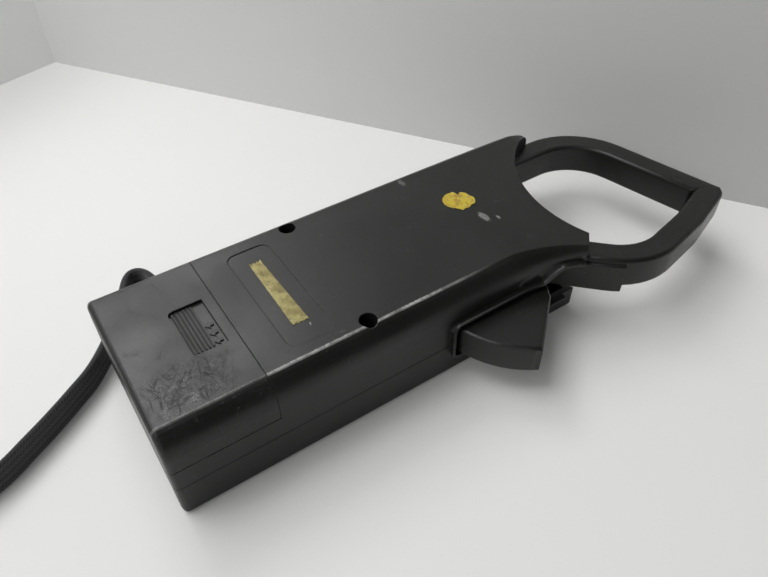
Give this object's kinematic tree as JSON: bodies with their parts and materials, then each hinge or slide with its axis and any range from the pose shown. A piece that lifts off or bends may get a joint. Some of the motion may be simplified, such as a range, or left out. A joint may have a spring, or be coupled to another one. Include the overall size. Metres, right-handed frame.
{
  "type": "clamp meter",
  "caption": "Clamp-on meter with curved jaws, sprung side trigger, range dial, display, test-lead sockets, slide-off battery cover and a braided wrist strap.",
  "frame": {"origin": "where the range dial's axis meets the flat front face, which is the face it lies on", "axes": "+Y runs along the case to the jaws, +Z out of the back of the case, +X towards the trigger side"},
  "size_m": [0.1278, 0.3798, 0.0379],
  "materials": {
    "case_plastic": "satin",
    "dark_plastic": "satin",
    "pale_plastic": "satin",
    "blue_plastic": "gloss",
    "steel": "satin",
    "core_steel": "laminated",
    "brass": "satin",
    "copper_wire": "enamelled",
    "board": "gloss",
    "glass": "clear",
    "display": "grey green",
    "contact_rubber": "matte",
    "lead_sheath": "satin",
    "foil": "aged foil",
    "sticker": "worn",
    "strap_fabric": "braided"
  },
  "bodies": {
    "case": {"front_shell": "case_plastic", "rear_shell": "case_plastic", "fixed_jaw": "case_plastic", "fixed_core": "core_steel", "pickup_coil": "copper_wire", "coil_bobbin": "dark_plastic", "coil_leads": "lead_sheath", "jaw_pin": "steel", "jaw_spring": "steel", "case_screws": "steel", "circuit_board": "board", "board_screws": "steel", "main_chip": "dark_plastic", "capacitors": "blue_plastic", "trimmers": "blue_plastic", "resistors": "pale_plastic", "shunt": "copper_wire", "fuse": "steel", "buzzer": "dark_plastic", "display_glass": "display", "display_frame": "dark_plastic", "contact_strips": "contact_rubber", "display_window": "glass", "front_overlay": "dark_plastic", "sockets": "brass", "hold_switch": "dark_plastic", "battery": "blue_plastic", "battery_terminals": "steel", "battery_snap": "dark_plastic", "battery_leads": "lead_sheath", "foil_label": "foil", "torn_label": "sticker", "strap_post": "steel", "strap": "strap_fabric"},
    "jaw": {"jaw_lever": "case_plastic", "moving_core": "core_steel"},
    "dial": {"range_dial": "dark_plastic", "dial_rotor": "pale_plastic", "rotor_contacts": "brass", "detent_balls": "steel"},
    "hold": {"hold_button": "dark_plastic"},
    "cover": {"battery_cover": "case_plastic"}
  },
  "joints": [
    {"name": "jaw_open", "type": "hinge", "parent": "case", "child": "jaw", "pos_m": [0.027, 0.046, 0.0166], "axis": [0, 0, -1], "range_deg": [0, 30], "stiffness_Nm_per_rad": 0.6, "springref_deg": -17.19, "deforming": ["jaw_spring"]},
    {"name": "dial_turn", "type": "hinge", "parent": "case", "child": "dial", "pos_m": [0, 0, 0.005], "axis": [0, 0, -1], "range_deg": [-150, 150]},
    {"name": "hold_press", "type": "slide", "parent": "case", "child": "hold", "axis": [1, 0, 0], "range_m": [0, 0.001], "stiffness_N_per_m": 600, "springref_m": -0.0004},
    {"name": "cover_slide", "type": "slide", "parent": "case", "child": "cover", "axis": [0, -1, 0], "range_m": [0, 0.045]}
  ]
}
